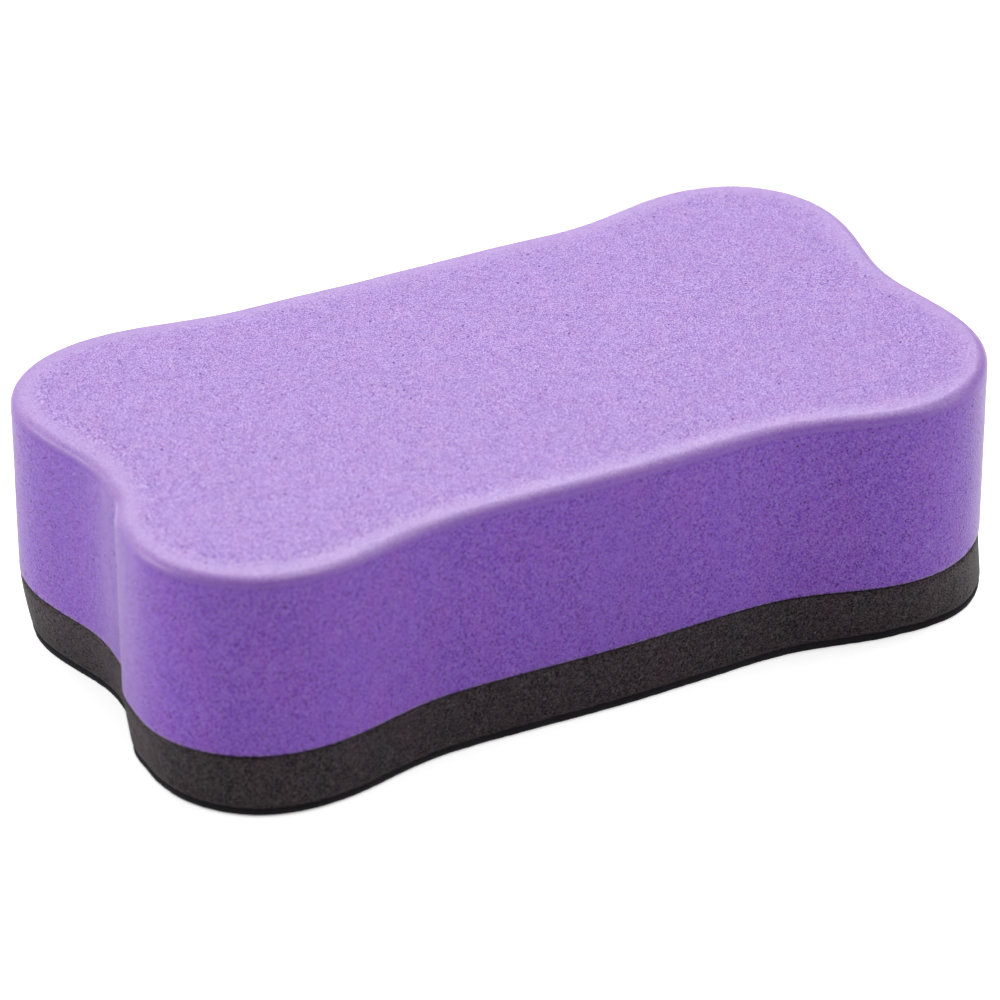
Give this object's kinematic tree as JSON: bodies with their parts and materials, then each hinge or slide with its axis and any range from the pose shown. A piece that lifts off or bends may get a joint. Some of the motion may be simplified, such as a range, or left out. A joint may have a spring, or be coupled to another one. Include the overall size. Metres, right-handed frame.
{
  "type": "chalkboard eraser",
  "caption": "Hand-held foam board eraser with a bone-shaped outline: a rounded violet grip block bonded to a charcoal foam pad with a thin felt wiping face.",
  "frame": {"origin": "centre of the felt's wiping face, which rests on the board or table", "axes": "+X along the length, +Y across the width, +Z away from the board towards the hand"},
  "size_m": [0.1, 0.0562, 0.0292],
  "materials": {
    "violet_foam": "matte closed-cell EVA foam, fine grain",
    "charcoal_foam": "matte closed-cell EVA foam, fine grain",
    "bond_film": "dried contact adhesive, slightly glossy",
    "black_felt": "pressed needle felt"
  },
  "bodies": {
    "root": {"grip_block": "violet_foam", "upper_bond_film": "bond_film", "backing_pad": "charcoal_foam", "lower_bond_film": "bond_film", "wiping_felt": "black_felt"}
  },
  "joints": []
}
